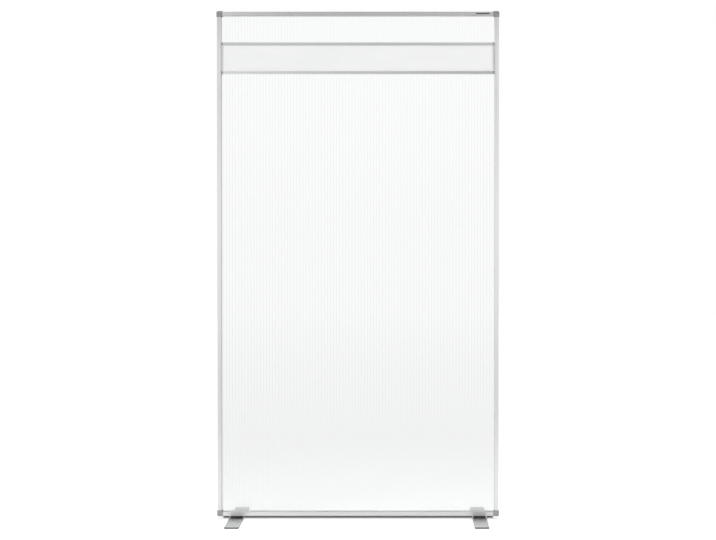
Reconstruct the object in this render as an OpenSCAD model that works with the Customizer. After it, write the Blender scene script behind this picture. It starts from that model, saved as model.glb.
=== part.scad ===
// Free-standing room divider: a ribbed twin-wall sheet in an aluminium frame with plastic corner caps,
// on two flat ribbed feet, with a framed writing strip that slides up and down in front of the sheet.
// Millimetres. X runs along the width, -Y is the front, Z is up, and the origin is on the floor
// below the middle of the panel.

/* [Overall] */
// Height from the floor to the top of the corner caps
overall_h = 1800; // [1200:10:2200]
// Width over the corner caps
overall_w = 1000; // [600:10:1400]

/* [Frame profile] */
// Width of the profile as seen from the front
face_w = 14.5; // [14:0.5:20]
// Depth of the profile from front to back
profile_d = 28; // [27:0.5:40]
// Thickness of the profile's outer walls
wall = 1.5; // [1.2:0.1:1.8]
// Thickness of the webs beside the sheet groove
web = 1.3; // [1:0.1:1.8]
// Depth of the groove that holds the sheet
groove_depth = 6.5; // [6:0.5:7]
// Radius of the profile's long outer edges
edge_r = 0.8; // [0.5:0.1:1.4]
// Width of the slot that lets the sliders into the guide channel
guide_slot_w = 3; // [2.4:0.1:3.4]
// Width of the slot in the underside of the bottom rail
base_slot_w = 6.6; // [6.4:0.1:8]

/* [Corner caps] */
// Radius of the inner corner that a cap adds to the frame's opening
cap_fillet = 5.2; // [2:0.1:10]
// How far a cap stands out past the profile's outer edges
cap_proud = 1.4; // [0.4:0.1:2.5]
// How far a cap stands out past the profile's front and back
cap_lift = 0.7; // [0.3:0.1:1.5]
// Radius of a cap's outer corner
cap_r = 6; // [3:0.5:10]
// Length of the tongues that fit inside the profiles
tongue_len = 22; // [16:1:60]
// Diameter of a corner screw's shank
corner_screw_d = 2.9; // [2.5:0.1:3.2]
// Length of a corner screw's shank
corner_screw_l = 8; // [5:0.5:11]
// Diameter of a corner screw's head
corner_screw_head_d = 5.4; // [4.5:0.1:6]
// Height of a corner screw's head
corner_screw_head_h = 1.8; // [1.4:0.1:2.2]

/* [Blank plate] */
// Length of the blank plate at the right end of the top rail
plate_l = 48; // [20:1:80]
// Height of the blank plate
plate_h = 4; // [3:0.5:8]
// Thickness of the blank plate
plate_t = 0.5; // [0.3:0.1:1]
// Distance from the blank plate to the end of the top rail
plate_end = 13.5; // [4:0.5:60]

/* [Ribbed sheet] */
// Thickness of the twin-wall sheet
sheet_t = 10; // [8:0.5:10.5]
// Thickness of each skin of the sheet
skin_t = 0.6; // [0.4:0.1:1]
// Thickness of the ribs between the skins
rib_t = 0.5; // [0.3:0.1:1]
// Spacing of the ribs, before it is fitted to the width
rib_pitch = 10.9; // [8:0.1:20]
// Thickness of the gasket on each side of the sheet
gasket_t = 1; // [0.8:0.1:1.3]
// How far the gasket stays below the profile's inner edge
gasket_set = 0.6; // [0.2:0.1:1.5]

/* [Feet] */
// Length of a foot from front to back
foot_l = 400; // [300:10:600]
// Width of a foot
foot_w = 50; // [44:1:80]
// Thickness of a foot
foot_t = 5; // [4.5:0.5:8]
// Gap between a cap's tongue and the nut plate of the foot beside it
foot_set = 3.9; // [0.5:0.1:200]
// Radius of a foot's corners seen from above
foot_corner_r = 5; // [2:0.5:12]
// Radius of a foot's long top edges
foot_edge_r = 1.5; // [0.5:0.1:2]
// Number of flutes along the top of a foot
flute_count = 5; // [3:1:6]
// Spacing of the flutes
flute_pitch = 8; // [5:0.5:10]
// Radius of a flute
flute_r = 1.2; // [0.6:0.1:1.5]
// Thickness of the spacer between a foot and the bottom rail
spacer_t = 5.5; // [2:0.5:8]
// How far the spacer and the nut plate stay inside the foot's sides
spacer_inset = 3; // [1:0.5:4]
// Distance between the two screws of a foot
foot_screw_gap = 26; // [20:1:30]
// Diameter of a foot screw
foot_screw_d = 6; // [5:0.5:6]
// Diameter of a foot screw's countersunk head
foot_screw_head_d = 12; // [11:0.5:12]
// Thickness of the nut plate inside the bottom rail
nut_plate_t = 4; // [3:0.5:4]

/* [Foot pads] */
// How far a rubber pad stands out below its foot
pad_rise = 1; // [0.6:0.2:3]
// How deep a pad is set into its foot
pad_sink = 1; // [0.6:0.2:2]
// Distance from the foot's side to its pads
pad_side = 5; // [3:0.5:12]
// Length of a pad along the foot
pad_l = 16; // [10:1:40]
// Distance from the end of a foot to its pad
pad_inset = 10; // [6:1:40]

/* [Floor seal] */
// Gap between the rubber floor seal and the floor
seal_clear = 3; // [0.5:0.5:6]
// Thickness of the seal where it leaves the rail
seal_top_w = 9; // [7:0.5:12]
// Thickness of the seal at its lower edge
seal_tip_w = 4; // [2:0.5:6]
// How far the seal's head laps over each side of the rail's slot
seal_head_lap = 2; // [1:0.5:3]
// Thickness of the seal's head
seal_head_t = 1.5; // [1:0.1:2]
// Gap between the end of a seal and a foot
seal_end_gap = 1; // [0.5:0.5:3]

/* [Writing strip] */
// Height of the strip's frame
board_h = 111; // [80:1:300]
// Distance from the top of the panel down to the strip
board_drop = 111.5; // [40:0.5:900]
// Gap between each end of the strip and the stile's inner edge, seen from the front
board_end_gap = 2; // [0.5:0.1:6]
// Depth of the strip's frame
board_d = 9; // [8.5:0.5:14]
// Width of the strip's level rails as seen from the front
board_face_w = 10.2; // [9.2:0.2:14]
// Width of the strip's end rails as seen from the front
board_end_w = 6; // [5.5:0.5:10]
// Thickness of the strip rail's walls
board_wall = 1.2; // [1:0.1:1.4]
// Depth of the groove that holds the board
board_groove_depth = 4.5; // [3.5:0.5:5]
// Distance from the front of the strip to its groove
board_set = 1.8; // [1.2:0.1:2.4]
// Thickness of the writing face
face_sheet_t = 0.6; // [0.4:0.1:1]
// Thickness of the core behind the writing face
core_t = 3; // [2:0.2:3.4]
// Thickness of the back sheet
back_sheet_t = 0.4; // [0.3:0.1:0.6]
// Radius of the strip's outer corners
board_corner_r = 2.5; // [1:0.5:4]
// How far the strip's corner pieces stand out past its rails
board_proud = 0.4; // [0.2:0.1:1]
// Length of the tongues on the strip's corner pieces
board_tongue_len = 12; // [8:1:20]

/* [Sliders] */
// Height of a slider
slider_h = 22; // [20:1:30]
// How far a slider stays inside the strip's upper or lower edge
slider_set = 1; // [0.5:0.5:3]
// Width of the head that runs inside the guide channel
slider_head_w = 3.6; // [2.5:0.1:4.5]
// Thickness of the felt pad between a slider and the sheet
felt_t = 0.7; // [0.4:0.1:1.5]
// Height of a felt pad
felt_h = 9; // [4:0.5:10]
// How far a felt pad stays inside the slider's edges
felt_set = 1; // [0.5:0.5:2]
// Distance between the two screws of a slider
slider_screw_gap = 16; // [10:0.5:30]
// Distance from the end of the strip's level rail to the nearest slider screw
slider_screw_edge = 3; // [2:0.5:8]
// How far a slider's block reaches past its inner screw
slider_end = 4.2; // [3:0.1:20]
// Diameter of a slider screw
slider_screw_d = 2.5; // [2:0.1:3]
// How far a slider screw bites into the strip's rail
slider_screw_bite = 2; // [1.5:0.1:2.2]

/* [Clearances] */
// Gap between pieces that are fitted together
fit_gap = 0.1; // [0.05:0.05:0.2]
// Gap between pieces that slide on each other
slide_gap = 0.3; // [0.2:0.05:0.5]

/* [Hidden] */
$fn = 48;
// Small overlap that lets a cut run past the face it opens
over = 1;

// Outer faces of the profiles, and the ends of the profiles at the caps
cap_leg = face_w + cap_fillet;
frame_x = overall_w / 2 - cap_proud;
frame_top = overall_h - cap_proud;
frame_base = pad_rise + foot_t + spacer_t;
frame_mid = (frame_top + frame_base) / 2;
rail_l = 2 * (frame_x - cap_leg);
stile_l = frame_top - frame_base - 2 * cap_leg;
opening_x = frame_x - face_w;

// Chamber on the outer side of the profile, and the sheet groove on its inner side
groove_u = face_w - groove_depth;
groove_w = sheet_t + 2 * gasket_t + 2 * fit_gap;
chamber_u = groove_u - 2 * wall;
chamber_v = profile_d - 2 * wall;

// Guide channel between the sheet groove and the profile's front
guide_in = groove_w / 2 + web;
guide_out = profile_d / 2 - wall;
guide_mid = (guide_in + guide_out) / 2;
guide_v = guide_out - guide_in;
guide_u = groove_depth - web;

// Corner screws, halfway along the tongues and in the middle of the chamber
corner_screw_u = groove_u / 2;
corner_screw_set = tongue_len / 2;

// Sheet between the gaskets
gasket_depth = groove_depth - gasket_set;
sheet_w = 2 * (frame_x - groove_u - gasket_t - fit_gap);
sheet_h = frame_top - frame_base - 2 * (groove_u + gasket_t + fit_gap);
cells = round((sheet_w - rib_t) / rib_pitch);
cell_pitch = (sheet_w - rib_t) / cells;

// Feet
spacer_l = foot_w - 2 * spacer_inset;
foot_x = frame_x - cap_leg - tongue_len - foot_set - spacer_l / 2;
foot_top = pad_rise + foot_t;
foot_pad_y = foot_l / 2 - pad_inset - pad_l / 2;
nut_plate_w = chamber_v - 2 * fit_gap;
foot_screw_l = foot_t + spacer_t + wall + nut_plate_t - fit_gap;
foot_hole_d = foot_screw_d + 4 * fit_gap;

// Floor seal, whose head sits inside the bottom rail
seal_head_w = base_slot_w + 2 * seal_head_lap;
seal_neck_w = base_slot_w - 2 * fit_gap;

// Writing strip, which lies just in front of the stiles
board_back_y = -profile_d / 2 - slide_gap;
board_front_y = board_back_y - board_d;
board_x = opening_x - board_end_gap;
board_z = overall_h - board_drop - board_h / 2;
board_groove_u = board_face_w - board_groove_depth;
board_end_groove_u = board_end_w - board_groove_depth;
board_t = face_sheet_t + core_t + back_sheet_t;
board_groove_w = board_t + 2 * fit_gap;
board_chamber_u = board_groove_u - 2 * board_wall;
board_chamber_v = board_d - 2 * board_wall;
board_groove_y = -board_d / 2 + board_set;
board_sheet_w = 2 * (board_x - board_end_groove_u - fit_gap);
board_sheet_h = board_h - 2 * (board_groove_u + fit_gap);

// Sliders, between the strip's back and the sheet
slider_side_gap = 2 * slide_gap;
slider_x = opening_x - slider_side_gap;
slider_back_y = -sheet_t / 2 - slide_gap - felt_t;
slider_t = slider_back_y - board_back_y;
slider_z = board_h / 2 - slider_set - slider_h / 2;
slider_neck = guide_slot_w - 2 * slide_gap;
slider_neck_reach = slider_side_gap + web + slide_gap;
slider_head_v = guide_v - 2 * slide_gap;
slider_screw_x = board_x - board_end_w - slider_screw_edge - slider_screw_gap / 2;
slider_w = slider_x - slider_screw_x + slider_screw_gap / 2 + slider_end;
slider_screw_z = board_h / 2 - board_groove_u - board_groove_depth / 2;
felt_z = slider_z - slider_h / 2 + felt_set + felt_h / 2;

// Colours
aluminium = [0.8, 0.81, 0.82];
cap_grey = [0.55, 0.56, 0.57];
rubber_black = [0.09, 0.09, 0.1];
gasket_clear = [0.86, 0.87, 0.88];
sheet_clear = [0.96, 0.97, 0.98, 0.45];
enamel_white = [0.95, 0.95, 0.95];
steel = [0.66, 0.66, 0.67];
board_brown = [0.62, 0.5, 0.36];
slider_white = [0.9, 0.9, 0.9];
felt_grey = [0.4, 0.4, 0.42];

// Puts its children at the mirror image in X when side is 1, and as drawn when side is -1
module on_side(side) {
    mirror([side > 0 ? 1 : 0, 0, 0]) children();
}

// Flat bar with rounded corners: x from 0 to w, y centred on 0
module rounded_bar(w, d, r) {
    translate([r, -d / 2]) square([w - 2 * r, d]);
    translate([0, -d / 2 + r]) square([w, d - 2 * r]);
    for (x = [r, w - r], y = [-d / 2 + r, d / 2 - r])
        translate([x, y]) circle(r);
}

// Extrudes a section along X, with its x turned up along Z
module along_x(l) {
    rotate([0, -90, 0]) linear_extrude(l, center = true) children();
}

// Section of the frame's profile: x runs from the outer edge to the opening
module frame_section() {
    difference() {
        rounded_bar(face_w, profile_d, edge_r);
        translate([wall, -chamber_v / 2]) square([chamber_u, chamber_v]);
        translate([groove_u, -groove_w / 2]) square([groove_depth + over, groove_w]);
        for (side = [-1, 1]) {
            mid = side * guide_mid;
            translate([groove_u, mid - guide_v / 2]) square([guide_u, guide_v]);
            translate([groove_u, mid - guide_slot_w / 2]) square([groove_depth + over, guide_slot_w]);
        }
    }
}

// Holes in the back of a profile for the two corner screws at its ends, along the section's length l
module corner_screw_holes(l) {
    for (end = [-1, 1])
        translate([corner_screw_u, 0, end * (l / 2 - corner_screw_set)])
            rotate([-90, 0, 0]) cylinder(d = corner_screw_d + 2 * fit_gap, h = profile_d);
}

module rail() {
    rotate([0, -90, 0]) difference() {
        linear_extrude(rail_l, center = true) frame_section();
        corner_screw_holes(rail_l);
    }
}

module top_rail() {
    color(aluminium) translate([0, 0, frame_top]) mirror([0, 0, 1]) rail();
}

// Thin plate with nothing on it, glued to the front of the top rail
module blank_plate() {
    plate_x = rail_l / 2 - plate_end - plate_l / 2;
    color(rubber_black) translate([plate_x, -profile_d / 2 - fit_gap - plate_t / 2, frame_top - face_w / 2])
        cube([plate_l, plate_t, plate_h], center = true);
}

module bottom_rail() {
    color(aluminium) translate([0, 0, frame_base]) difference() {
        rail();
        translate([-rail_l / 2 - over, -base_slot_w / 2, -over])
            cube([rail_l + 2 * over, base_slot_w, wall + over + fit_gap]);
    }
}

module stile(side) {
    color(aluminium) on_side(side) translate([-frame_x, 0, frame_mid]) difference() {
        linear_extrude(stile_l, center = true) frame_section();
        corner_screw_holes(stile_l);
    }
}

// Square with a rounded outer corner at the origin, standing out past x = 0 and y = 0
module corner_block_outline(w, h, proud, r) {
    translate([r - proud, -proud]) square([w + proud - r, h + proud]);
    translate([-proud, r - proud]) square([w + proud, h + proud - r]);
    translate([r - proud, r - proud]) circle(r);
}

// Cap at the bottom left, before it is mirrored to its corner, with its tongues and its sheet groove
module frame_cap_shape() {
    tongue_u = wall + fit_gap;
    tongue_w = chamber_u - 2 * fit_gap;
    tongue_v = chamber_v - 2 * fit_gap;
    screw_at = cap_leg + corner_screw_set;
    difference() {
        union() {
            rotate([90, 0, 0]) linear_extrude(profile_d + 2 * cap_lift, center = true) difference() {
                corner_block_outline(cap_leg, cap_leg, cap_proud, cap_r);
                translate([cap_leg, cap_leg]) circle(cap_fillet);
            }
            translate([cap_leg - over, -tongue_v / 2, tongue_u]) cube([tongue_len + over, tongue_v, tongue_w]);
            translate([tongue_u, -tongue_v / 2, cap_leg - over]) cube([tongue_w, tongue_v, tongue_len + over]);
        }
        translate([groove_u, -groove_w / 2, groove_u]) cube([cap_leg, groove_w, cap_leg]);
        for (at = [[screw_at, corner_screw_u], [corner_screw_u, screw_at]])
            translate([at[0], 0, at[1]])
                rotate([-90, 0, 0]) cylinder(d = corner_screw_d + fit_gap, h = profile_d);
    }
}

module frame_cap(side, top) {
    color(cap_grey) translate([0, 0, top ? frame_top : frame_base]) mirror([0, 0, top ? 1 : 0])
        on_side(side) translate([-frame_x, 0, 0]) frame_cap_shape();
}

// Cross recess for a screw's head, cut upwards from z = 0
module cross_recess(w, slot, deep) {
    for (turn = [0, 90])
        rotate([0, 0, turn]) translate([-w / 2, -slot / 2, -over]) cube([w, slot, over + deep]);
}

// Pan-head screw, its head seated at y = 0 and its shank towards -y
module corner_screw() {
    recess_w = corner_screw_head_d * 0.55;
    recess_slot = corner_screw_d * 0.2;
    recess_deep = corner_screw_head_h * 0.6;
    rotate([90, 0, 0]) difference() {
        union() {
            cylinder(d = corner_screw_d, h = corner_screw_l);
            translate([0, 0, -corner_screw_head_h]) cylinder(d = corner_screw_head_d, h = corner_screw_head_h);
        }
        translate([0, 0, -corner_screw_head_h]) cross_recess(recess_w, recess_slot, recess_deep);
    }
}

module corner_screws() {
    screw_at = cap_leg + corner_screw_set;
    color(steel) for (side = [-1, 1], top = [0, 1])
        translate([0, profile_d / 2, top ? frame_top : frame_base]) mirror([0, 0, top])
            on_side(side) translate([-frame_x, 0, 0]) {
                translate([screw_at, 0, corner_screw_u]) corner_screw();
                translate([corner_screw_u, 0, screw_at]) corner_screw();
            }
}

// Twin-wall sheet: two skins with upright ribs between them, open at the top and the bottom
module ribbed_sheet() {
    color(sheet_clear) translate([0, 0, frame_mid]) linear_extrude(sheet_h, center = true) difference() {
        square([sheet_w, sheet_t], center = true);
        for (i = [0 : cells - 1])
            translate([-sheet_w / 2 + rib_t + i * cell_pitch, -sheet_t / 2 + skin_t])
                square([cell_pitch - rib_t, sheet_t - 2 * skin_t]);
    }
}

// U-shaped gasket round the sheet's edge, its back at x = 0 and its mouth towards +x
module gasket_section() {
    difference() {
        translate([0, -groove_w / 2 + fit_gap / 2]) square([gasket_depth, groove_w - fit_gap]);
        translate([gasket_t, -sheet_t / 2 - fit_gap / 2]) square([gasket_depth, sheet_t + fit_gap]);
    }
}

module level_gasket(top) {
    l = 2 * (frame_x - groove_u - fit_gap / 2);
    color(gasket_clear) translate([0, 0, top ? frame_top : frame_base]) mirror([0, 0, top ? 1 : 0])
        translate([0, 0, groove_u + fit_gap / 2]) along_x(l) gasket_section();
}

module upright_gasket(side) {
    l = frame_top - frame_base - 2 * (groove_u + gasket_depth + fit_gap);
    color(gasket_clear) on_side(side) translate([-frame_x + groove_u + fit_gap / 2, 0, frame_mid])
        linear_extrude(l, center = true) gasket_section();
}

// Fluted bar seen from its end, standing on y = 0
module foot_section() {
    difference() {
        union() {
            translate([-foot_w / 2, 0]) square([foot_w, foot_t - foot_edge_r]);
            translate([-foot_w / 2 + foot_edge_r, 0]) square([foot_w - 2 * foot_edge_r, foot_t]);
            for (side = [-1, 1])
                translate([side * (foot_w / 2 - foot_edge_r), foot_t - foot_edge_r]) circle(foot_edge_r);
        }
        for (i = [0 : flute_count - 1])
            translate([(i - (flute_count - 1) / 2) * flute_pitch, foot_t + flute_r / 4]) circle(flute_r);
    }
}

module foot_plan() {
    translate([-foot_l / 2, 0]) rounded_bar(foot_l, foot_w, foot_corner_r);
}

// Countersunk through holes for the two foot screws
module foot_screw_holes(h) {
    for (side = [-1, 1]) translate([side * foot_screw_gap / 2, 0, 0]) {
        translate([0, 0, -over]) cylinder(d = foot_hole_d, h = h + 2 * over);
        cylinder(d1 = foot_screw_head_d + fit_gap, d2 = 0, h = (foot_screw_head_d + fit_gap) / 2);
    }
}

module foot(side) {
    color(aluminium) on_side(side) translate([-foot_x, 0, pad_rise]) difference() {
        intersection() {
            rotate([90, 0, 0]) linear_extrude(foot_l, center = true) foot_section();
            rotate([0, 0, 90]) linear_extrude(foot_t) foot_plan();
        }
        foot_screw_holes(foot_t);
        for (end = [-1, 1]) translate([0, end * foot_pad_y, 0])
            cube([foot_w - 2 * pad_side + fit_gap, pad_l + fit_gap, 2 * pad_sink], center = true);
    }
}

module foot_pads(side) {
    color(rubber_black) on_side(side) for (end = [-1, 1])
        translate([-foot_x, end * foot_pad_y, (pad_rise + pad_sink) / 2])
            cube([foot_w - 2 * pad_side, pad_l, pad_rise + pad_sink], center = true);
}

module foot_spacer(side) {
    color(rubber_black) on_side(side) translate([-foot_x, 0, foot_top]) difference() {
        translate([-spacer_l / 2, -chamber_v / 2, 0]) cube([spacer_l, chamber_v, spacer_t]);
        for (end = [-1, 1])
            translate([end * foot_screw_gap / 2, 0, -over])
                cylinder(d = foot_hole_d, h = spacer_t + 2 * over);
    }
}

module foot_nut_plate(side) {
    color(steel) on_side(side) translate([-foot_x, 0, frame_base + wall]) difference() {
        translate([-spacer_l / 2, -nut_plate_w / 2, 0]) cube([spacer_l, nut_plate_w, nut_plate_t]);
        for (end = [-1, 1])
            translate([end * foot_screw_gap / 2, 0, -over])
                cylinder(d = foot_screw_d + fit_gap, h = nut_plate_t + 2 * over);
    }
}

// Countersunk screw with a hexagon socket, its head's face at z = 0 and its shank upwards
module foot_screw() {
    socket_w = foot_screw_d * 2 / 3;
    socket_deep = foot_screw_d / 3;
    difference() {
        union() {
            cylinder(d = foot_screw_d, h = foot_screw_l);
            cylinder(d1 = foot_screw_head_d, d2 = 0, h = foot_screw_head_d / 2);
        }
        translate([0, 0, -over]) cylinder(d = socket_w / cos(30), h = socket_deep + over, $fn = 6);
    }
}

module foot_screws(side) {
    color(steel) on_side(side) for (end = [-1, 1])
        translate([-foot_x + end * foot_screw_gap / 2, 0, pad_rise]) foot_screw();
}

// Rubber floor seal seen from its end: x runs up, with 0 at the underside of the bottom rail
module seal_section() {
    drop = frame_base - seal_clear;
    shoulder = drop * 0.6;
    head_from = wall + fit_gap;
    half = [
        [-drop, seal_tip_w / 2], [-shoulder, seal_top_w / 2], [0, seal_top_w / 2], [0, seal_neck_w / 2],
        [head_from, seal_neck_w / 2], [head_from, seal_head_w / 2], [head_from + seal_head_t, seal_head_w / 2]
    ];
    last = len(half) - 1;
    polygon(concat(half, [for (i = [0 : last]) [half[last - i][0], -half[last - i][1]]]));
}

// Seal between the two places x0 and x1
module floor_seal(x0, x1) {
    color(rubber_black) translate([(x0 + x1) / 2, 0, frame_base]) along_x(x1 - x0) seal_section();
}

module end_floor_seal(side) {
    head_room = tongue_len + fit_gap;
    on_side(side) difference() {
        floor_seal(-rail_l / 2 + fit_gap, -foot_x - foot_w / 2 - seal_end_gap);
        translate([-rail_l / 2, -profile_d / 2, frame_base + wall])
            cube([head_room, profile_d, seal_head_t + over]);
    }
}

module middle_floor_seal() {
    inner_end = foot_x - foot_w / 2 - seal_end_gap;
    floor_seal(-inner_end, inner_end);
}

// Places its children at the strip's middle, with y = 0 halfway through the strip's depth
module at_board() {
    translate([0, (board_back_y + board_front_y) / 2, board_z]) children();
}

// Section of the strip's rail: x runs from the outer edge inwards, and y from front to back
module board_section() {
    difference() {
        rounded_bar(board_face_w, board_d, board_wall / 2);
        translate([board_wall, -board_chamber_v / 2]) square([board_chamber_u, board_chamber_v]);
        translate([board_groove_u, board_groove_y]) square([board_groove_depth + over, board_groove_w]);
    }
}

module board_level_rail(top) {
    hole_h = slider_screw_bite + fit_gap;
    color(aluminium) at_board() mirror([0, 0, top ? 1 : 0]) difference() {
        translate([0, 0, -board_h / 2]) along_x(2 * (board_x - board_end_w)) board_section();
        for (side = [-1, 1], end = [-1, 1])
            translate([side * slider_screw_x + end * slider_screw_gap / 2, board_d / 2 - hole_h,
                -slider_screw_z])
                rotate([-90, 0, 0]) cylinder(d = slider_screw_d + fit_gap, h = hole_h + over);
    }
}

// End rail, a channel that holds the board's end between the corner pieces
module board_end_rail(side) {
    color(aluminium) at_board() on_side(side) translate([-board_x, 0, 0])
        linear_extrude(board_h - 2 * board_face_w, center = true) difference() {
            rounded_bar(board_end_w, board_d, board_wall / 2);
            translate([board_end_groove_u, board_groove_y]) square([board_end_w, board_groove_w]);
        }
}

// Corner piece at the bottom left, before it is mirrored, with its tongue in the level rail
module board_corner(side, top) {
    tongue_u = board_wall + fit_gap;
    tongue_w = board_chamber_u - 2 * fit_gap;
    tongue_v = board_chamber_v - 2 * fit_gap;
    color(cap_grey) at_board() mirror([0, 0, top ? 1 : 0]) on_side(side)
        translate([-board_x, 0, -board_h / 2]) difference() {
            union() {
                rotate([90, 0, 0]) linear_extrude(board_d, center = true)
                    corner_block_outline(board_end_w, board_face_w, board_proud, board_corner_r);
                translate([board_end_w - over, -tongue_v / 2, tongue_u])
                    cube([board_tongue_len + over, tongue_v, tongue_w]);
            }
            translate([board_end_groove_u, board_groove_y, board_groove_u])
                cube([board_end_w, board_groove_w, board_face_w]);
        }
}

// One layer of the board, at its distance from the groove's front
module board_layer(from, t) {
    at_board() translate([-board_sheet_w / 2, board_groove_y + fit_gap + from, -board_sheet_h / 2])
        cube([board_sheet_w, t, board_sheet_h]);
}

module board_face() {
    color(enamel_white) board_layer(0, face_sheet_t);
}

module board_core() {
    color(board_brown) board_layer(face_sheet_t, core_t);
}

module board_back() {
    color(steel) board_layer(face_sheet_t + core_t, back_sheet_t);
}

// Slider seen from above: the block, and the neck and head that run in the stile's guide channel
module slider_plan() {
    translate([0, board_back_y]) square([slider_w, slider_t]);
    translate([-slider_neck_reach - over, -guide_mid - slider_neck / 2])
        square([slider_neck_reach + 2 * over, slider_neck]);
    translate([-slider_neck_reach - slider_head_w, -guide_mid - slider_head_v / 2])
        square([slider_head_w, slider_head_v]);
}

module slider(side, level) {
    color(slider_white) on_side(side) translate([-slider_x, 0, board_z]) difference() {
        translate([0, 0, level * slider_z]) linear_extrude(slider_h, center = true) slider_plan();
        for (end = [-1, 1])
            translate([slider_x - slider_screw_x + end * slider_screw_gap / 2, slider_back_y,
                level * slider_screw_z])
                rotate([90, 0, 0]) {
                    translate([0, 0, -over])
                        cylinder(d = slider_screw_d + 2 * fit_gap, h = slider_t + 2 * over);
                    cylinder(d1 = 2 * slider_screw_d, d2 = 0, h = slider_screw_d);
                }
    }
}

module slider_pads() {
    color(felt_grey) for (side = [-1, 1], level = [-1, 1])
        on_side(side) translate([-slider_x + felt_set, slider_back_y, board_z + level * felt_z - felt_h / 2])
            cube([slider_w - 2 * felt_set, felt_t, felt_h]);
}

// Countersunk screw, its head's face at y = 0 and its shank towards -y
module slider_screw() {
    recess_w = slider_screw_d * 0.9;
    recess_slot = slider_screw_d * 0.2;
    recess_deep = slider_screw_d * 0.3;
    rotate([90, 0, 0]) difference() {
        union() {
            cylinder(d = slider_screw_d, h = slider_t + slider_screw_bite);
            cylinder(d1 = 2 * slider_screw_d - fit_gap, d2 = 0, h = slider_screw_d - fit_gap / 2);
        }
        cross_recess(recess_w, recess_slot, recess_deep);
    }
}

module slider_screws() {
    color(steel) for (side = [-1, 1], level = [-1, 1], end = [-1, 1])
        translate([side * slider_screw_x + end * slider_screw_gap / 2, slider_back_y,
            board_z + level * slider_screw_z]) slider_screw();
}

top_rail();
bottom_rail();
stile(-1);  // left_stile
stile(1);  // right_stile
frame_cap(-1, true);  // top_left_cap
frame_cap(1, true);  // top_right_cap
frame_cap(-1, false);  // bottom_left_cap
frame_cap(1, false);  // bottom_right_cap
corner_screws();
blank_plate();
ribbed_sheet();
level_gasket(true);  // top_gasket
level_gasket(false);  // bottom_gasket
upright_gasket(-1);  // left_gasket
upright_gasket(1);  // right_gasket
foot(-1);  // left_foot
foot(1);  // right_foot
foot_pads(-1);  // left_foot_pads
foot_pads(1);  // right_foot_pads
foot_spacer(-1);  // left_foot_spacer
foot_spacer(1);  // right_foot_spacer
foot_nut_plate(-1);  // left_foot_nut_plate
foot_nut_plate(1);  // right_foot_nut_plate
foot_screws(-1);  // left_foot_screws
foot_screws(1);  // right_foot_screws
end_floor_seal(-1);  // left_floor_seal
middle_floor_seal();
end_floor_seal(1);  // right_floor_seal
board_face();
board_core();
board_back();
board_level_rail(true);  // board_top_rail
board_level_rail(false);  // board_bottom_rail
board_end_rail(-1);  // board_left_rail
board_end_rail(1);  // board_right_rail
board_corner(-1, true);  // board_top_left_corner
board_corner(1, true);  // board_top_right_corner
board_corner(-1, false);  // board_bottom_left_corner
board_corner(1, false);  // board_bottom_right_corner
slider(-1, 1);  // top_left_slider
slider(1, 1);  // top_right_slider
slider(-1, -1);  // bottom_left_slider
slider(1, -1);  // bottom_right_slider
slider_pads();
slider_screws();
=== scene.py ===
import math
import bpy
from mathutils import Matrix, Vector

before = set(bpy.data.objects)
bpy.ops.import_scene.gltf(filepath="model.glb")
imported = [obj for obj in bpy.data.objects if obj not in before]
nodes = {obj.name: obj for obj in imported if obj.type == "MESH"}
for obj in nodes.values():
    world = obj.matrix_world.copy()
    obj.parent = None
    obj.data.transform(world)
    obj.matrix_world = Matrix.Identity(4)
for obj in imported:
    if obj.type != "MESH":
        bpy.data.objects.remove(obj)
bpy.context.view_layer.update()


# Frame profiles: four lengths of one aluminium extrusion, with a groove for the sheet and guide
# slots front and back. They are cut square and satin anodised. The die leaves fine lines along
# each length, and the bath slow random changes of tone. The rails and the stiles are lit and
# shaded copies of this aluminium, with painted shade and reflection along their lengths and
# painted light on some of their faces.
def new_material(name):
    made = bpy.data.materials.new(name)
    made.use_nodes = True
    return made


def shader_of(made):
    return made.node_tree.nodes["Principled BSDF"]


def node_of(made, kind, **settings):
    """A new node, with its settings."""
    node = made.node_tree.nodes.new(kind)
    for key, value in settings.items():
        setattr(node, key, value)
    return node


def plug(made, source, target):
    """Links a socket to the target, or sets a number or a colour there."""
    if isinstance(source, bpy.types.NodeSocket):
        made.node_tree.links.new(source, target)
    else:
        target.default_value = source


def grey(shade):
    return (shade, shade, shade, 1)


def arithmetic(made, operation, *values):
    """One sum on sockets or numbers."""
    step = node_of(made, "ShaderNodeMath", operation=operation)
    for place, value in enumerate(values):
        plug(made, value, step.inputs[place])
    return step.outputs["Value"]


def reach(made, source, start, end, low=0.0, high=1.0, smooth=False):
    """Goes from low to high while the source goes from start to end."""
    span = node_of(made, "ShaderNodeMapRange",
                   interpolation_type="SMOOTHSTEP" if smooth else "LINEAR")
    ends = {"From Min": start, "From Max": end, "To Min": low, "To Max": high}
    for name, value in ends.items():
        span.inputs[name].default_value = value
    plug(made, source, span.inputs["Value"])
    return span.outputs["Result"]


def mix_tones(made, share, first, second, way="MIX"):
    """A colour that goes from the first tone to the second by share."""
    mix = node_of(made, "ShaderNodeMix", data_type="RGBA", blend_type=way)
    plug(made, share, mix.inputs["Factor"])
    plug(made, first, mix.inputs["A"])
    plug(made, second, mix.inputs["B"])
    return mix.outputs["Result"]


def along(made, vector, axis):
    """The part of a place or a direction that lies along one axis."""
    parts = node_of(made, "ShaderNodeSeparateXYZ")
    plug(made, vector, parts.inputs["Vector"])
    return parts.outputs[axis]


def place_of(made):
    """Where a point lies on the object, in metres."""
    return node_of(made, "ShaderNodeTexCoord").outputs["Object"]


def facing(made):
    """The way that a face looks."""
    return node_of(made, "ShaderNodeNewGeometry").outputs["True Normal"]


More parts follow.
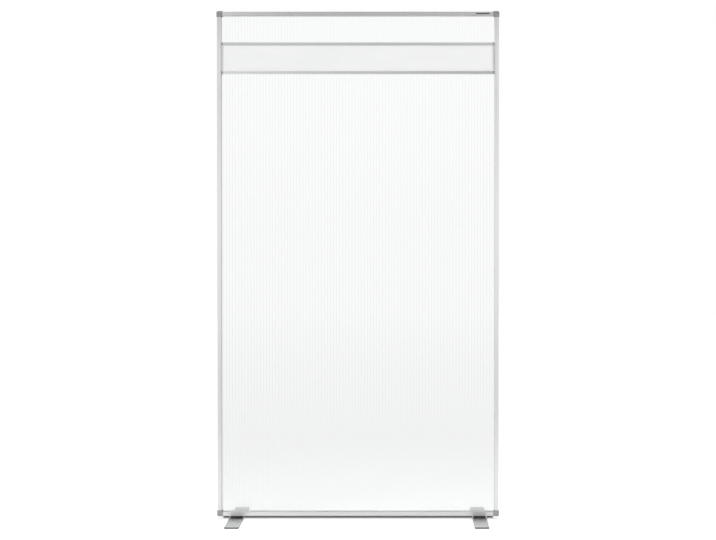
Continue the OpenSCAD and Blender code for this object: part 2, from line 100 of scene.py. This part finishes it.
def grain(made, size, detail=2.0, rough=0.5):
    """Noise whose grains measure size, in metres, one number or one each for x, y and z."""
    sizes = (size,) * 3 if isinstance(size, float) else size
    fit = node_of(made, "ShaderNodeMapping")
    fit.inputs["Scale"].default_value = [1 / s for s in sizes]
    noise = node_of(made, "ShaderNodeTexNoise")
    noise.inputs["Scale"].default_value = 1
    noise.inputs["Detail"].default_value = detail
    noise.inputs["Roughness"].default_value = rough
    plug(made, place_of(made), fit.inputs["Vector"])
    plug(made, fit.outputs["Vector"], noise.inputs["Vector"])
    return noise.outputs["Fac"]


grain_low, grain_high = 0.3, 0.7    # nearly all of the noise lies between these


def colour_by(made, pattern, dark, light):
    """The base colour, from dark to light as the pattern rises."""
    ramp = node_of(made, "ShaderNodeValToRGB")
    first, last = ramp.color_ramp.elements
    first.position, last.position = grain_low, grain_high
    first.color, last.color = (*dark, 1), (*light, 1)
    plug(made, pattern, ramp.inputs["Fac"])
    plug(made, ramp.outputs["Color"], shader_of(made).inputs["Base Color"])


def roughness_by(made, pattern, low, high):
    """The roughness, from low to high as the pattern rises."""
    rough = reach(made, pattern, grain_low, grain_high, low, high)
    plug(made, rough, shader_of(made).inputs["Roughness"])


def relief_by(made, pattern, depth):
    """A bump as deep as depth, in metres."""
    bump = node_of(made, "ShaderNodeBump")
    bump.inputs["Distance"].default_value = depth
    plug(made, pattern, bump.inputs["Height"])
    plug(made, bump.outputs["Normal"], shader_of(made).inputs["Normal"])


def shader_values(made, **values):
    """Sets plain numbers on the shader's own sockets."""
    names = {"metal": "Metallic", "gloss": "Specular IOR Level", "ior": "IOR",
             "clear": "Transmission Weight", "sheen": "Sheen Weight", "drawn": "Anisotropic"}
    for key, value in values.items():
        shader_of(made).inputs[names[key]].default_value = value


def finish_nodes(made, *names):
    """Gives pieces their material."""
    for name in names:
        for place in nodes[name].material_slots:
            place.material = made


def drawn_along(made, axis, share):
    """Gloss drawn out across the lines that run along one axis."""
    around = node_of(made, "ShaderNodeTangent", direction_type="RADIAL", axis=axis)
    plug(made, around.outputs["Tangent"], shader_of(made).inputs["Tangent"])
    shader_values(made, drawn=share)


def tone_ramp(made, source, *steps):
    """A grey that follows the source through (place, grey) steps, in rising order."""
    ramp = node_of(made, "ShaderNodeValToRGB")
    first, last = ramp.color_ramp.elements
    first.position, last.position = steps[0][0], steps[-1][0]
    first.color, last.color = grey(steps[0][1]), grey(steps[-1][1])
    for place, shade in steps[1:-1]:
        ramp.color_ramp.elements.new(place).color = grey(shade)
    plug(made, source, ramp.inputs["Fac"])
    tone = node_of(made, "ShaderNodeSeparateColor")
    plug(made, ramp.outputs["Color"], tone.inputs["Color"])
    return tone.outputs["Red"]


def paint_shade_along(made, axis, ends, *steps):
    """Paints shade into the base colour: darkens it by (share, grey) steps between two places on
    an axis.
    """
    share = reach(made, along(made, place_of(made), axis), *ends)
    base = shader_of(made).inputs["Base Color"]
    full = base.links[0].from_socket
    plug(made, mix_tones(made, 1, full, tone_ramp(made, share, *steps), "MULTIPLY"), base)


def looks_along(made, axis, both=True):
    """How far a face looks along an axis, both ways or only down it, from 0 to 1."""
    edge_on, nearly_square = 0.15, 0.75
    way = along(made, facing(made), axis)
    turn = arithmetic(made, "ABSOLUTE", way) if both else arithmetic(made, "MULTIPLY", way, -1)
    return reach(made, turn, edge_on, nearly_square, smooth=True)


def paint_light_on_sides(made, axis, shade, both=True):
    """Paints light on the faces that look along an axis, both ways or only down it, as a paler
    grey.
    """
    base = shader_of(made).inputs["Base Color"]
    front = base.links[0].from_socket
    plug(made, mix_tones(made, looks_along(made, axis, both), front, grey(shade)), base)


def satin_aluminium(name, axis, dark, light, low=0.3, high=0.37):
    """Anodised aluminium whose die lines run along one axis."""
    line_width, line_length, line_depth = 0.0005, 0.12, 0.000006
    band_width, band_length = 0.004, 0.9
    made = new_material(name)
    fine = grain(made, [line_length if a == axis else line_width for a in "XYZ"], detail=3)
    broad = grain(made, [band_length if a == axis else band_width for a in "XYZ"], detail=2)
    colour_by(made, broad, dark, light)
    roughness_by(made, fine, low, high)
    relief_by(made, fine, line_depth)
    shader_values(made, metal=1.0)
    drawn_along(made, axis, 0.75)
    return made


# Painted light and shade: the top rail, the bottom rail and the stiles are lit and shaded copies
# of one aluminium, the top rail darkest and the stiles palest. Each is darkened along its length
# in painted shade and reflection, and the stiles are kept lighter in a band beside the strip.
rail_ends, stile_ends = (-0.48, 0.48), (0.03, 1.78)
top_rail_shaded_satin = satin_aluminium("top_rail_shaded_satin", "X", (0.805, 0.81, 0.815),
                                 (0.845, 0.85, 0.855))
paint_shade_along(top_rail_shaded_satin, "X", rail_ends, (0.0, 1.0), (0.24, 0.81), (0.5, 0.765), (1.0, 0.82))
# Painted light: the top rail's downward faces get a paler grey.
paint_light_on_sides(top_rail_shaded_satin, "Z", 0.97, both=False)
finish_nodes(top_rail_shaded_satin, "top_rail")

bottom_rail_lit_satin = satin_aluminium("bottom_rail_lit_satin", "X", (0.875, 0.88, 0.883),
                                    (0.915, 0.92, 0.923))
paint_shade_along(bottom_rail_lit_satin, "X", rail_ends, (0.0, 1.0), (0.3, 0.89), (1.0, 0.86))
finish_nodes(bottom_rail_lit_satin, "bottom_rail")

stile_lit_satin = satin_aluminium("stile_lit_satin", "Z", (0.94, 0.945, 0.95), (0.975, 0.98, 0.985))
paint_shade_along(stile_lit_satin, "Z", stile_ends, (0.0, 0.89), (0.18, 0.84), (0.26, 0.855), (0.42, 0.945),
           (0.63, 0.975), (0.85, 0.925), (0.895, 1.0), (0.935, 1.0), (0.965, 0.94), (1.0, 0.89))
# Painted light: the side faces of the stiles get a paler grey.
paint_light_on_sides(stile_lit_satin, "X", 0.98)
finish_nodes(stile_lit_satin, "left_stile", "right_stile")


# Corner caps: grey moulded plastic with a fine eroded grain. Their tongues push into the cut ends
# of the profiles, and the outside stands a little proud of the metal, with soft edges all round.
def soften(width, *names):
    """Merges a piece's triangles and rounds its edges."""
    same_point, sharp_turn = 0.00001, math.radians(35)
    for name in names:
        merge = nodes[name].modifiers.new("merge", "WELD")
        merge.merge_threshold = same_point
        edges = nodes[name].modifiers.new("edges", "BEVEL")
        edges.width = width
        edges.segments = 2
        edges.limit_method = "ANGLE"
        edges.angle_limit = sharp_turn
        edges.use_clamp_overlap = True


caps = ("top_left_cap", "top_right_cap", "bottom_left_cap", "bottom_right_cap")
cap_grey = new_material("cap_grey")
cap_pores = grain(cap_grey, 0.0006)
cap_clouds = grain(cap_grey, 0.012, detail=3)
colour_by(cap_grey, cap_clouds, (0.355, 0.357, 0.36), (0.405, 0.407, 0.41))
# Painted shade: the caps darken towards the top of the frame, to two thirds of their grey.
paint_shade_along(cap_grey, "Z", (0.01, 1.8), (0.0, 1.0), (1.0, 0.66))
roughness_by(cap_grey, cap_pores, 0.38, 0.5)
relief_by(cap_grey, cap_pores, 0.00003)
finish_nodes(cap_grey, *caps)
soften(0.0009, *caps)


# Corner screws: small pan heads of zinc-plated steel, driven from the back through the profile
# into the tongues. The plating is bright with a faint blue to straw drift.
bright_zinc = new_material("bright_zinc")
zinc_drift = grain(bright_zinc, 0.003, detail=3)
colour_by(bright_zinc, zinc_drift, (0.56, 0.57, 0.60), (0.68, 0.67, 0.63))
roughness_by(bright_zinc, grain(bright_zinc, 0.0005), 0.25, 0.42)
relief_by(bright_zinc, grain(bright_zinc, 0.0004), 0.000008)
shader_values(bright_zinc, metal=1.0)
finish_nodes(bright_zinc, "corner_screws")


# Blank plate: a small strip of sheet aluminium, black anodised, with its edges just broken.
# It is glued to the front of the top rail near its right end.
plate_black = satin_aluminium("plate_black", "X", (0.10, 0.10, 0.104), (0.125, 0.125, 0.13),
                              low=0.34, high=0.42)
finish_nodes(plate_black, "blank_plate")
soften(0.0001, "blank_plate")


# Ribbed sheet: hollow twin-wall sheet of clear plastic, two skins joined by upright ribs about
# 11 mm apart. It is extruded, so faint waves run up the skins. Lamps shine through it with little
# loss, and the thin ribs let sight through with a slight loss of their own.
def shader_between(made, share, first, second):
    """The first shader, giving way to the second by share."""
    mix = node_of(made, "ShaderNodeMixShader")
    plug(made, share, mix.inputs["Fac"])
    plug(made, first, mix.inputs[1])
    plug(made, second, mix.inputs[2])
    return mix.outputs["Shader"]


def let_through(made, share):
    """A shader that lets a share of what meets it straight through."""
    clear = node_of(made, "ShaderNodeBsdfTransparent")
    clear.inputs["Color"].default_value = grey(share)
    return clear.outputs["BSDF"]


sheet_width, sheet_cells, panel_height = 0.9785, 90, 1.8
half_cell = sheet_width / sheet_cells / 2
# Painted shade: the skins are painted darker along each rib, in place of the shade the ribs make
# by bending light. This painted shade is weakest low down, strongest about mid-height and weaker
# again at the top.
rib_reach, rib_fades = 0.0003, 0.0022
skin_tone, painted_rib_grey = (0.985, 0.988, 0.988, 1), (0.955, 0.96, 0.961, 1)
sheet_clear = new_material("sheet_clear")
sheet_place = place_of(sheet_clear)
from_rib = arithmetic(sheet_clear, "PINGPONG", along(sheet_clear, sheet_place, "X"), half_cell)
by_rib = reach(sheet_clear, from_rib, rib_reach, rib_fades, 1.0, 0.0, smooth=True)
sheet_share = reach(sheet_clear, along(sheet_clear, sheet_place, "Z"), 0.0, panel_height)
painted_rib_weight_by_height = tone_ramp(sheet_clear, sheet_share, (0.0, 0.25), (0.14, 0.25), (0.23, 0.8),
                         (0.4, 1.0), (0.8, 0.85), (0.9, 0.7), (1.0, 0.45))
painted_rib_darkening = arithmetic(sheet_clear, "MULTIPLY", by_rib, painted_rib_weight_by_height)
sheet_tone = mix_tones(sheet_clear, painted_rib_darkening, skin_tone, painted_rib_grey)
plug(sheet_clear, sheet_tone, shader_of(sheet_clear).inputs["Base Color"])
roughness_by(sheet_clear, grain(sheet_clear, (0.005, 0.005, 0.3)), 0.02, 0.06)
relief_by(sheet_clear, grain(sheet_clear, (0.006, 0.006, 0.5)), 0.00002)
shader_values(sheet_clear, clear=1.0, ior=1.58)

rib_side = arithmetic(sheet_clear, "ABSOLUTE", along(sheet_clear, facing(sheet_clear), "X"))
skin_or_rib = shader_between(sheet_clear, rib_side, shader_of(sheet_clear).outputs["BSDF"],
                             let_through(sheet_clear, 0.975))
sheet_ray = node_of(sheet_clear, "ShaderNodeLightPath")
sight_or_lamp = shader_between(sheet_clear, sheet_ray.outputs["Is Shadow Ray"], skin_or_rib,
                               let_through(sheet_clear, 0.965))
plug(sheet_clear, sight_or_lamp,
     sheet_clear.node_tree.nodes["Material Output"].inputs["Surface"])
finish_nodes(sheet_clear, "ribbed_sheet")


# Gaskets: soft milky plastic, extruded as a U. They are pushed over the sheet's four edges before
# the profiles go on, and take up the play in the groove.
gasket_milk = new_material("gasket_milk")
colour_by(gasket_milk, grain(gasket_milk, 0.02), (0.80, 0.81, 0.80), (0.88, 0.89, 0.88))
roughness_by(gasket_milk, grain(gasket_milk, 0.002), 0.4, 0.55)
relief_by(gasket_milk, grain(gasket_milk, 0.001), 0.00002)
shader_values(gasket_milk, clear=0.25, ior=1.45)
finish_nodes(gasket_milk, "top_gasket", "bottom_gasket", "left_gasket", "right_gasket")


# Feet: flat aluminium bars with shallow flutes rolled or extruded along them, ends rounded with a
# file. The top is brushed along the bar and a little scuffed by shoes. The sides and the cut ends
# are painted dark in shade, and painted shade darkens the top a little towards its front end.
foot_brushed = new_material("foot_brushed")
brush_lines = grain(foot_brushed, (0.0005, 0.25, 0.0005))
scuffs = grain(foot_brushed, (0.02, 0.06, 0.02), detail=3)
colour_by(foot_brushed, scuffs, (0.64, 0.645, 0.65), (0.68, 0.685, 0.69))
# Painted shade: the top darkens a little towards its front end.
paint_shade_along(foot_brushed, "Y", (-0.2, 0.2), (0.0, 0.93), (1.0, 1.0))
# Painted shade: faces that look neither up nor down, the sides and the cut ends, get a dark grey.
foot_base = shader_of(foot_brushed).inputs["Base Color"]
painted_top_tone, painted_side_shade = foot_base.links[0].from_socket, (0.172, 0.172, 0.177, 1)
plug(foot_brushed,
     mix_tones(foot_brushed, looks_along(foot_brushed, "Z"), painted_side_shade, painted_top_tone), foot_base)
roughness_by(foot_brushed, scuffs, 0.28, 0.33)
relief_by(foot_brushed, brush_lines, 0.000002)
shader_values(foot_brushed, metal=1.0)
drawn_along(foot_brushed, "Y", 0.7)
finish_nodes(foot_brushed, "left_foot", "right_foot")


# Rubber parts: pads under the feet and spacers between the feet and the bottom rail, black and
# dull, and the extruded strip that closes the gap to the floor, greyed by dust from sweeping.
black_rubber = new_material("black_rubber")
rubber_clouds = grain(black_rubber, 0.015, detail=4)
colour_by(black_rubber, rubber_clouds, (0.040, 0.040, 0.041), (0.070, 0.070, 0.071))
roughness_by(black_rubber, grain(black_rubber, 0.001), 0.6, 0.8)
relief_by(black_rubber, grain(black_rubber, 0.0007, detail=3), 0.00005)
finish_nodes(black_rubber, "left_foot_pads", "right_foot_pads",
             "left_foot_spacer", "right_foot_spacer")

dusty_rubber = new_material("dusty_rubber")
dust = grain(dusty_rubber, (0.03, 0.004, 0.004), detail=4)
colour_by(dusty_rubber, dust, (0.135, 0.135, 0.136), (0.212, 0.211, 0.208))
roughness_by(dusty_rubber, dust, 0.6, 0.8)
relief_by(dusty_rubber, grain(dusty_rubber, 0.0007, detail=3), 0.00005)
finish_nodes(dusty_rubber, "left_floor_seal", "middle_floor_seal", "right_floor_seal")


# Foot fixings: tapped steel plates that lie inside the bottom rail, and the countersunk screws
# that hold the feet to them from below. Both are zinc plated.
finish_nodes(bright_zinc, "left_foot_nut_plate", "right_foot_nut_plate",
             "left_foot_screws", "right_foot_screws")


# Strip face: thin sheet steel with white stoved enamel, glossy, with the slight orange peel of a
# sprayed coat. It is glued to the core and held by the frame.
face_enamel = new_material("face_enamel")
enamel_drift = grain(face_enamel, (0.2, 0.2, 0.05))
colour_by(face_enamel, enamel_drift, (0.84, 0.845, 0.85), (0.87, 0.873, 0.875))
roughness_by(face_enamel, grain(face_enamel, (0.05, 0.05, 0.02)), 0.08, 0.14)
relief_by(face_enamel, grain(face_enamel, 0.004), 0.000004)
shader_values(face_enamel, gloss=0.5)
finish_nodes(face_enamel, "board_face")


# Strip core and back: hardboard 3 mm thick, with its brown fibres, closed behind by thin
# galvanised sheet whose zinc has frozen in flat grains.
fibre_brown = new_material("fibre_brown")
fibres = grain(fibre_brown, (0.004, 0.001, 0.0015), detail=6, rough=0.7)
colour_by(fibre_brown, fibres, (0.11, 0.06, 0.03), (0.24, 0.14, 0.075))
roughness_by(fibre_brown, fibres, 0.7, 0.9)
relief_by(fibre_brown, fibres, 0.0001)
finish_nodes(fibre_brown, "board_core")

grains_per_metre = 140
spangle = new_material("spangle")
spangle_cells = node_of(spangle, "ShaderNodeTexVoronoi")
spangle_cells.inputs["Scale"].default_value = grains_per_metre
plug(spangle, place_of(spangle), spangle_cells.inputs["Vector"])
spangle_tone = node_of(spangle, "ShaderNodeSeparateColor")
plug(spangle, spangle_cells.outputs["Color"], spangle_tone.inputs["Color"])
colour_by(spangle, spangle_tone.outputs["Red"], (0.50, 0.51, 0.53), (0.64, 0.65, 0.67))
roughness_by(spangle, spangle_tone.outputs["Green"], 0.3, 0.48)
relief_by(spangle, grain(spangle, 0.001), 0.00001)
shader_values(spangle, metal=1.0)
finish_nodes(spangle, "board_back")


# Strip frame: four thin channels of satin aluminium pressed on round the face, with grey plastic
# blocks at the corners that join them.
# Painted light and shade: the strip's top rail, bottom rail and end rails are lit and shaded
# copies of one aluminium, the top rail darkest and the bottom rail palest, and the level rails are
# darkened along their lengths in painted shade and reflection.
strip_ends = (-0.46, 0.46)
strip_top_shaded_satin = satin_aluminium("strip_top_shaded_satin", "X", (0.755, 0.76, 0.765),
                                   (0.795, 0.80, 0.805))
paint_shade_along(strip_top_shaded_satin, "X", strip_ends, (0.0, 1.0), (0.4, 0.93), (0.65, 0.89), (1.0, 0.95))
finish_nodes(strip_top_shaded_satin, "board_top_rail")

strip_low_lit_satin = satin_aluminium("strip_low_lit_satin", "X", (0.90, 0.905, 0.91),
                                  (0.94, 0.945, 0.95))
paint_shade_along(strip_low_lit_satin, "X", strip_ends, (0.0, 1.0), (0.45, 0.81), (1.0, 0.69))
finish_nodes(strip_low_lit_satin, "board_bottom_rail")

strip_end_part_lit_satin = satin_aluminium("strip_end_part_lit_satin", "Z", (0.81, 0.815, 0.82),
                                  (0.85, 0.855, 0.86))
finish_nodes(strip_end_part_lit_satin, "board_left_rail", "board_right_rail")

strip_corners = ("board_top_left_corner", "board_top_right_corner",
                 "board_bottom_left_corner", "board_bottom_right_corner")
corner_grey = new_material("corner_grey")
corner_pores = grain(corner_grey, 0.0005)
corner_clouds = grain(corner_grey, 0.006, detail=3)
colour_by(corner_grey, corner_clouds, (0.30, 0.302, 0.305), (0.36, 0.362, 0.365))
roughness_by(corner_grey, corner_pores, 0.4, 0.52)
relief_by(corner_grey, corner_pores, 0.00002)
finish_nodes(corner_grey, *strip_corners)
soften(0.0004, *strip_corners)


# Sliders: white moulded blocks screwed to the back of the strip's level rails. A head on each
# runs in the stile's guide slot, and a felt pad takes up the play.
sliders = ("top_left_slider", "top_right_slider", "bottom_left_slider", "bottom_right_slider")
slider_white = new_material("slider_white")
slider_clouds = grain(slider_white, 0.01, detail=3)
colour_by(slider_white, slider_clouds, (0.70, 0.70, 0.68), (0.76, 0.76, 0.74))
roughness_by(slider_white, grain(slider_white, 0.001), 0.3, 0.42)
relief_by(slider_white, grain(slider_white, 0.0006), 0.00002)
finish_nodes(slider_white, *sliders)
soften(0.0005, *sliders)

felt_grey = new_material("felt_grey")
felt_hair = grain(felt_grey, (0.0012, 0.0012, 0.0004), detail=6, rough=0.75)
colour_by(felt_grey, felt_hair, (0.12, 0.12, 0.125), (0.24, 0.24, 0.245))
roughness_by(felt_grey, felt_hair, 0.85, 1.0)
relief_by(felt_grey, felt_hair, 0.0002)
shader_values(felt_grey, sheen=0.4)
finish_nodes(felt_grey, "slider_pads")
finish_nodes(bright_zinc, "slider_screws")


# Studio floor: a level sheet of white paper, laid just below the pads. It reads white to the eye
# and in what the metal and the sheet mirror, and keeps the shadow under and beside the object.
floor_size, floor_drop, paper_tone = 24, 0.0003, 0.8
near_edge, far_edge = 0.8, 2.6
bpy.ops.mesh.primitive_plane_add(size=floor_size, location=(0, 0, -floor_drop))
floor = bpy.context.object
floor.name = "floor"
floor_paper = new_material("floor_paper")
paper = shader_of(floor_paper)
paper.inputs["Roughness"].default_value = 0.9
paper.inputs["Specular IOR Level"].default_value = 0.0
paper.inputs["Emission Color"].default_value = grey(1)

# How far out a point of the floor lies, and how far it lies behind the object.
floor_place = place_of(floor_paper)
floor_far = node_of(floor_paper, "ShaderNodeVectorMath", operation="LENGTH")
plug(floor_paper, floor_place, floor_far.inputs[0])
far_out = reach(floor_paper, floor_far.outputs["Value"], near_edge, far_edge, smooth=True)
floor_share = arithmetic(floor_paper, "DIVIDE", floor_far.outputs["Value"], floor_size / 2)
to_back = reach(floor_paper, along(floor_paper, floor_place, "Y"), -0.4, 0.2, smooth=True)

# The glow of the far floor, with painted shade in it: metal mirrors another tone of the floor in
# front of the object than what the eye and the clear plastic meet, and what lies behind. The glow
# is painted darker in a band some 2.4 m out, and, in what metal mirrors in front, darker with
# distance.
ray = node_of(floor_paper, "ShaderNodeLightPath")
by_eye, by_gloss, by_clear = (ray.outputs[name] for name in
                              ("Is Camera Ray", "Is Glossy Ray", "Is Transmission Ray"))
seen = arithmetic(floor_paper, "MAXIMUM", by_eye, by_gloss)
seen = arithmetic(floor_paper, "MAXIMUM", seen, by_clear)
painted_shade_behind = tone_ramp(floor_paper, floor_share,
                        (0.0, 0.93), (0.2, 0.915), (0.31, 0.93), (0.6, 0.95), (1.0, 0.98))
painted_shade_in_front = tone_ramp(floor_paper, floor_share, (0.0, 1.0), (0.12, 0.95), (0.3, 0.8), (1.0, 0.74))
gloss_alone = arithmetic(floor_paper, "SUBTRACT", by_gloss, by_clear)
gloss_alone = arithmetic(floor_paper, "MAXIMUM", gloss_alone, 0.0)
in_front = arithmetic(floor_paper, "MULTIPLY", gloss_alone,
                      arithmetic(floor_paper, "SUBTRACT", 1.0, to_back))
far_tone = arithmetic(floor_paper, "MULTIPLY_ADD", in_front,
                      arithmetic(floor_paper, "SUBTRACT", painted_shade_in_front, painted_shade_behind), painted_shade_behind)

# The near floor glows less and takes the object's shadow, which the eye sees a little lifted.
near_glow, eye_lift = 0.205, 0.235
glow = arithmetic(floor_paper, "MULTIPLY_ADD", far_out,
                  arithmetic(floor_paper, "SUBTRACT", far_tone, near_glow), near_glow)
glow = arithmetic(floor_paper, "MULTIPLY", seen, glow)
glow = arithmetic(floor_paper, "MULTIPLY_ADD", by_eye, eye_lift, glow)
plug(floor_paper, glow, paper.inputs["Emission Strength"])
self_lit = arithmetic(floor_paper, "MULTIPLY", seen, far_out)
paper_base = mix_tones(floor_paper, self_lit, grey(paper_tone), grey(0))
plug(floor_paper, paper_base, paper.inputs["Base Color"])
floor.data.materials.append(floor_paper)


# Studio light: a white room. What the eye and clear plastic meet is white or nearly so; what metal
# and gloss mirror is the room's front half, lighter low down, darker towards the ceiling and the
# side walls; what lights the object is softer still. The two lamps in front stay out of mirrors.
rear_tone, side_tone, light_tone = 0.87, 0.8, 0.56
room = bpy.data.worlds.new("room")
bpy.context.scene.world = room
room.use_nodes = True
room_way = node_of(room, "ShaderNodeTexCoord").outputs["Generated"]
height = reach(room, along(room, room_way, "Z"), -1, 1)
front_wall = tone_ramp(room, height, (0.0, 0.75), (0.46, 0.84), (0.49, 0.98), (0.525, 0.98),
                       (0.56, 0.7), (0.6, 0.55), (0.68, 0.36), (0.85, 0.33), (1.0, 0.5))
to_rear = reach(room, along(room, room_way, "Y"), -0.25, 0.35, smooth=True)
walls = mix_tones(room, to_rear, front_wall, grey(rear_tone))
sideways = arithmetic(room, "ABSOLUTE", along(room, room_way, "X"))
beside = reach(room, sideways, 0.5, 0.95, 1.0, side_tone, smooth=True)
walls = mix_tones(room, 1, walls, beside, "MULTIPLY")
through_tone = tone_ramp(room, height, (0.0, 0.965), (0.5, 0.972), (0.53, 0.986), (0.548, 0.999),
                         (1.0, 1.0))
room_ray = node_of(room, "ShaderNodeLightPath")
room_tone = mix_tones(room, room_ray.outputs["Is Glossy Ray"], grey(light_tone), walls)
room_tone = mix_tones(room, room_ray.outputs["Is Transmission Ray"], room_tone, through_tone)
room_tone = mix_tones(room, room_ray.outputs["Is Camera Ray"], room_tone, grey(1))
plug(room, room_tone, room.node_tree.nodes["Background"].inputs["Color"])


def softbox(name, place, aim, size, watts, in_mirrors=True):
    """A square soft lamp, aimed at a point."""
    light = bpy.data.lights.new(name, "AREA")
    light.shape = "RECTANGLE"
    light.size = light.size_y = size
    light.energy = watts
    holder = bpy.data.objects.new(name, light)
    holder.visible_glossy = in_mirrors
    bpy.context.scene.collection.objects.link(holder)
    holder.location = place
    holder.rotation_euler = (Vector(aim) - Vector(place)).to_track_quat("-Z", "Y").to_euler()


softbox("left_box", (-3.4, -3.2, 3.4), (0, 0, 0.8), 1.6, 59, in_mirrors=False)
softbox("right_box", (3.4, -3.2, 3.4), (0, 0, 0.8), 1.6, 59, in_mirrors=False)
softbox("top_box", (0, -0.4, 4.0), (0, 0, 0), 2.4, 42)


# Camera: square to the panel, almost level, a little right of the middle, framed as the object
# was shot. Its tilt is in degrees below level.
tilt = 0.696
lens = bpy.data.cameras.new("camera")
lens.lens = 82.442
lens.sensor_width = 36
lens.shift_x = -0.0613
lens.shift_y = -0.045
lens.clip_end = 60
camera = bpy.data.objects.new("camera", lens)
bpy.context.scene.collection.objects.link(camera)
camera.location = (0.1554, -5.8189, 1.069)
camera.rotation_euler = (math.radians(90 - tilt), 0, 0)
bpy.context.scene.camera = camera

bpy.context.scene.view_settings.view_transform = "Standard"
